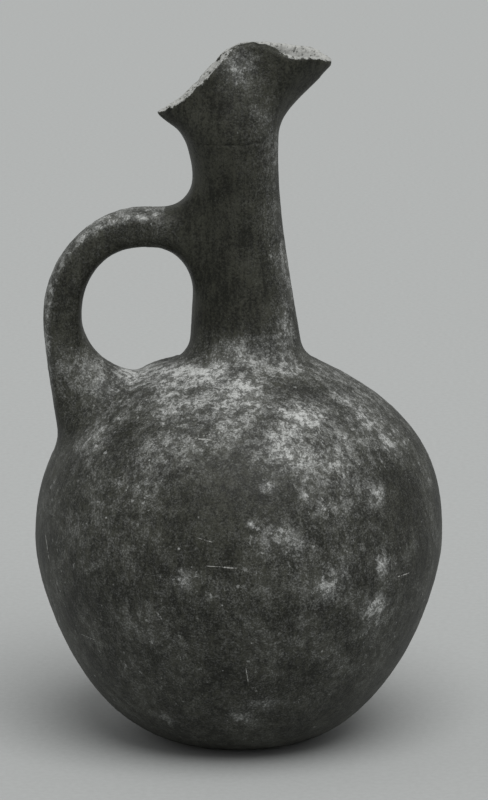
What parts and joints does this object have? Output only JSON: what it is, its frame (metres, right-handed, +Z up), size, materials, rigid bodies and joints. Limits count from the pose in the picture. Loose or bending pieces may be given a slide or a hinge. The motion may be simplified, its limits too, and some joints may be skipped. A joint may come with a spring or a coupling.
{
  "type": "beak-spouted juglet",
  "caption": "Hand-built ceramic juglet with a round body, tall narrow neck, pinched beak-spouted mouth and loop handle, for keeping and pouring small amounts of oil or perfume",
  "frame": {"origin": "Middle of the flat that the juglet stands on.", "axes": "+X is the way it pours, with the handle on the -X side; +Y is away from the viewer; +Z is up."},
  "size_m": [0.0962, 0.0962, 0.166],
  "materials": {
    "burnished_clay": "dark slipped and burnished clay, worn, with pale lime deposit",
    "luting_clay": "dark slipped clay, smoothed by finger"
  },
  "bodies": {
    "root": {"base_pad": "burnished_clay", "lower_bowl": "burnished_clay", "shoulder": "burnished_clay", "neck": "burnished_clay", "spout_head": "burnished_clay", "handle": "burnished_clay", "neck_luting_coil": "luting_clay", "handle_root_luting_coil": "luting_clay", "handle_top_luting_coil": "luting_clay"}
  },
  "joints": []
}
